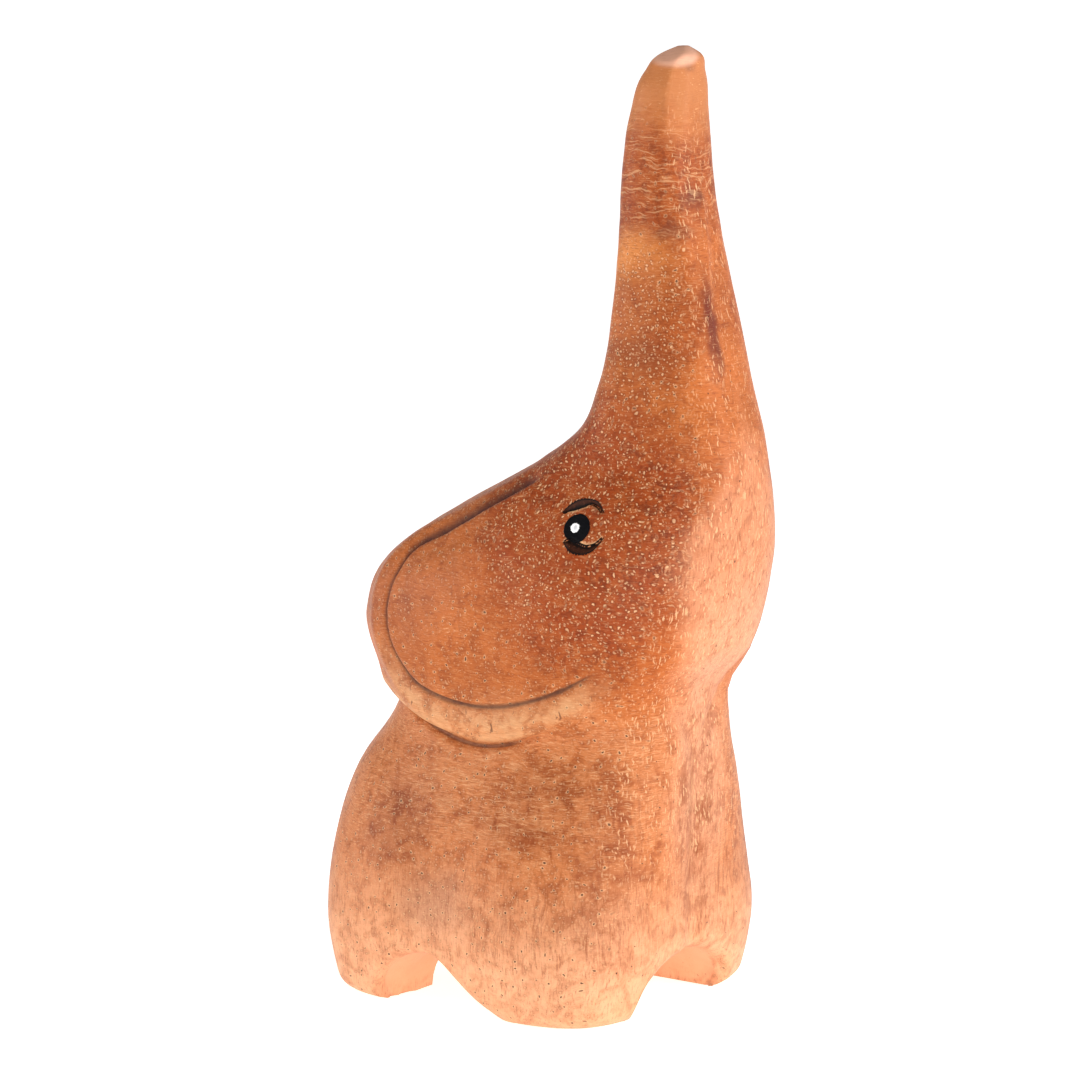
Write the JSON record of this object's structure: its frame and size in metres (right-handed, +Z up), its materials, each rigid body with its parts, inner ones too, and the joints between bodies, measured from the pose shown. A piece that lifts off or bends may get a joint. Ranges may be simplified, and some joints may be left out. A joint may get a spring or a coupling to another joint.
{
  "type": "carved wooden elephant figurine",
  "caption": "Standing elephant carved from a block of porous hardwood, with its trunk raised straight up, ears in low relief, painted eyes and short legs under crossing arches.",
  "frame": {"origin": "on the floor, half way between the brow and the rump and on the figure's plane of symmetry", "axes": "+X forwards, the way the elephant faces, +Y to its left, +Z up along the raised trunk"},
  "size_m": [0.0554, 0.0432, 0.12],
  "materials": {
    "carved_wood": "waxed, satin",
    "black_enamel": "black paint, semi-gloss",
    "white_enamel": "white paint, semi-gloss",
    "dark_stain": "dark brown stain, matt"
  },
  "bodies": {
    "root": {"carved_block": "carved_wood", "right_pupil": "black_enamel", "left_pupil": "black_enamel", "right_glint": "white_enamel", "left_glint": "white_enamel", "right_upper_lid": "dark_stain", "left_upper_lid": "dark_stain", "right_lower_lid": "dark_stain", "left_lower_lid": "dark_stain"}
  },
  "joints": []
}
